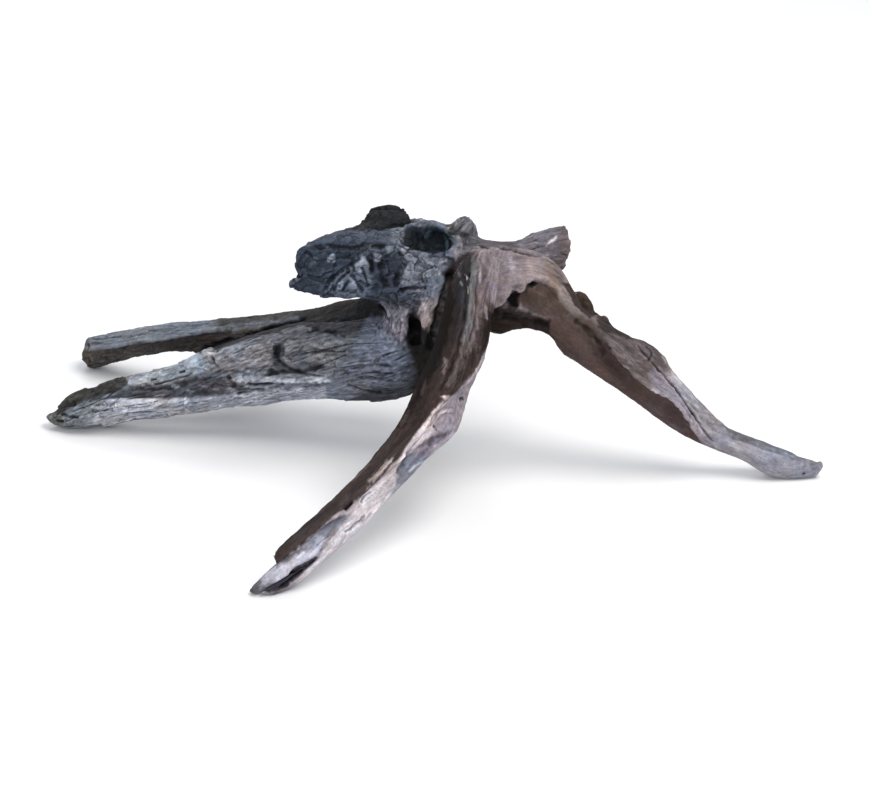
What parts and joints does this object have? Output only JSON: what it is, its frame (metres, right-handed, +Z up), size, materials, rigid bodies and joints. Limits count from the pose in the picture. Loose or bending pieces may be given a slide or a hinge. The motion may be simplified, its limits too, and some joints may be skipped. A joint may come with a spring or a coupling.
{
  "type": "driftwood root",
  "caption": "Weathered branching driftwood root that stands on worn feet, with a charred broken stub and knobs on its crown.",
  "frame": {"origin": "centre of the wood's box on the floor that its feet stand on", "axes": "+Z up; +X along the wood's length, towards the right leg's tip; the front, where the picture was taken from, faces -Y"},
  "size_m": [0.4033, 0.2687, 0.1305],
  "materials": {
    "brown_wood": "weathered mauve-brown wood, matt",
    "grey_wood": "silvered blue-grey wood, matt",
    "charred_wood": "charred blue-black wood, satin"
  },
  "bodies": {
    "root": {"crown": "brown_wood", "front_leg": "brown_wood", "right_leg": "brown_wood", "left_trunk": "grey_wood", "long_prong": "grey_wood", "rear_prong": "grey_wood", "charred_stub": "charred_wood", "top_spur": "brown_wood"}
  },
  "joints": []
}
